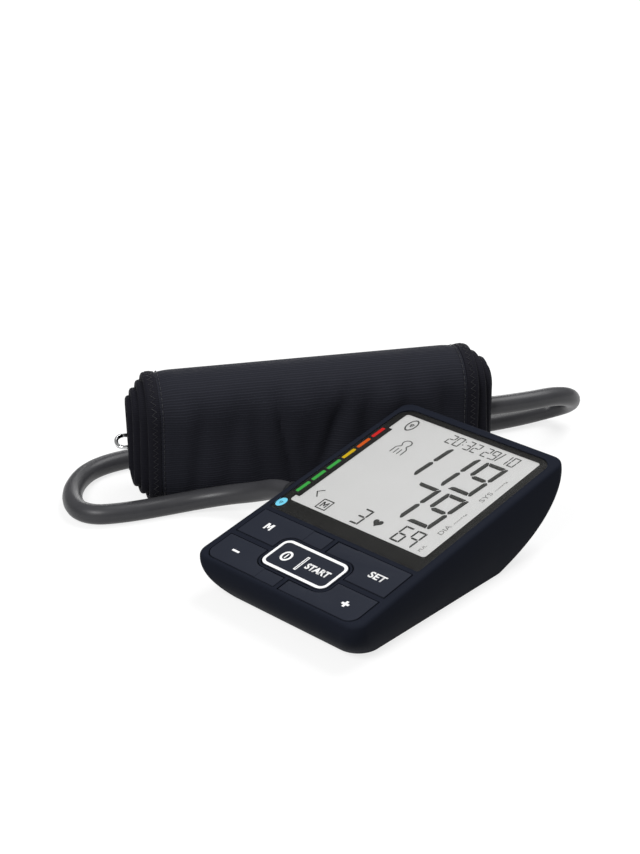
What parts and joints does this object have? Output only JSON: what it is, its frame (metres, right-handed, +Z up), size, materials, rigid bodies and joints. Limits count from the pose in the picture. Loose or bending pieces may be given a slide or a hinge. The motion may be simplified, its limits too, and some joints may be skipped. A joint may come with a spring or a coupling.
{
  "type": "blood pressure monitor",
  "caption": "Wedge-shaped blood pressure monitor with a large display and wide keys on its sloping top, joined by an air hose to a rolled arm cuff.",
  "frame": {"origin": "on the floor, under the middle of the box round the monitor and the rolled cuff without the hose", "axes": "+X to the monitor's right as its display is read, +Y to its back, +Z up"},
  "size_m": [0.2233, 0.2645, 0.0648],
  "materials": {
    "housing_plastic": "fine matte texture",
    "key_plastic": "soft matte",
    "clear_lens": "clear gloss",
    "printed_border": "printed under a clear lens",
    "black_foam": "matte",
    "lcd_glass": "pale grey, satin",
    "white_plastic": "matte",
    "conductive_rubber": "matte",
    "board_laminate": "satin lacquer",
    "chip_black": "matte",
    "shield_metal": "brushed",
    "screw_steel": "zinc plated",
    "cell_jacket": "printed metal jacket",
    "contact_metal": "nickel plated",
    "motor_metal": "zinc plated",
    "pump_plastic": "matte",
    "inner_rubber": "matte",
    "inner_tube": "satin, milky",
    "foot_rubber": "matte",
    "socket_plastic": "satin",
    "plug_plastic": "satin",
    "hose_rubber": "half gloss",
    "cuff_fabric": "fine ribbed weave",
    "cuff_lining_fabric": "smooth nylon",
    "bladder_rubber": "matte",
    "padding_fleece": "soft fleece",
    "binding_tape": "woven tape",
    "hook_tape": "hooks",
    "ring_chrome": "polished"
  },
  "bodies": {
    "monitor": {"top_housing": "housing_plastic", "bottom_housing": "housing_plastic", "rubber_feet": "foot_rubber", "housing_screws": "screw_steel", "display_lens": "clear_lens", "lens_mask": "printed_border", "lens_gasket": "black_foam", "lcd_panel": "lcd_glass", "lcd_frame": "white_plastic", "lcd_connector": "conductive_rubber", "keypad_mat": "conductive_rubber", "main_board": "board_laminate", "board_screws": "screw_steel", "radio_module": "shield_metal", "controller_chip": "chip_black", "pressure_sensor": "white_plastic", "battery_cells": "cell_jacket", "battery_contacts": "contact_metal", "pump_motor": "motor_metal", "pump_head": "pump_plastic", "pump_diaphragm": "inner_rubber", "pump_sleeve": "inner_rubber", "air_manifold": "pump_plastic", "pump_tube": "inner_tube", "socket_tube": "inner_tube", "sensor_tube": "inner_tube", "exhaust_valve": "chip_black", "air_socket": "socket_plastic"},
    "start_key": {"start_key": "key_plastic"},
    "memory_key": {"memory_key": "key_plastic"},
    "minus_key": {"minus_key": "key_plastic"},
    "set_key": {"set_key": "key_plastic"},
    "plus_key": {"plus_key": "key_plastic"},
    "battery_door": {"battery_door": "housing_plastic"},
    "pump_crank": {"pump_crank": "pump_plastic"},
    "valve_plunger": {"valve_plunger": "screw_steel"},
    "cuff": {"hose_plug": "plug_plastic", "air_hose": "hose_rubber", "cuff_outer_fabric": "cuff_fabric", "cuff_lining": "cuff_lining_fabric", "cuff_bladder": "bladder_rubber", "cuff_padding": "padding_fleece", "cuff_edge_binding": "binding_tape", "hook_pad": "hook_tape", "d_ring": "ring_chrome", "cuff_port": "plug_plastic"}
  },
  "joints": [
    {"name": "start_key_press", "type": "slide", "parent": "monitor", "child": "start_key", "axis": [0, 0.1656, -0.9862], "range_m": [0, 0.0008], "stiffness_N_per_m": 1600},
    {"name": "memory_key_press", "type": "slide", "parent": "monitor", "child": "memory_key", "axis": [0, 0.1656, -0.9862], "range_m": [0, 0.0008], "stiffness_N_per_m": 1600},
    {"name": "minus_key_press", "type": "slide", "parent": "monitor", "child": "minus_key", "axis": [0, 0.1656, -0.9862], "range_m": [0, 0.0008], "stiffness_N_per_m": 1600},
    {"name": "set_key_press", "type": "slide", "parent": "monitor", "child": "set_key", "axis": [0, 0.1656, -0.9862], "range_m": [0, 0.0008], "stiffness_N_per_m": 1600},
    {"name": "plus_key_press", "type": "slide", "parent": "monitor", "child": "plus_key", "axis": [0, 0.1656, -0.9862], "range_m": [0, 0.0008], "stiffness_N_per_m": 1600},
    {"name": "battery_door_hinge", "type": "hinge", "parent": "monitor", "child": "battery_door", "pos_m": [0.05241, -0.05015, 0.0026], "axis": [-1, 0, 0], "range_deg": [0, 95]},
    {"name": "pump_crank_turn", "type": "hinge", "parent": "monitor", "child": "pump_crank", "pos_m": [0.04641, 0.02235, 0.0254], "axis": [1, 0, 0], "continuous": true},
    {"name": "valve_plunger_lift", "type": "slide", "parent": "monitor", "child": "valve_plunger", "axis": [0, 0, 1], "range_m": [0, 0.001], "stiffness_N_per_m": 200},
    {"name": "hose_plug_pull", "type": "slide", "parent": "monitor", "child": "cuff", "axis": [-1, 0, 0], "range_m": [0, 0.01]}
  ]
}
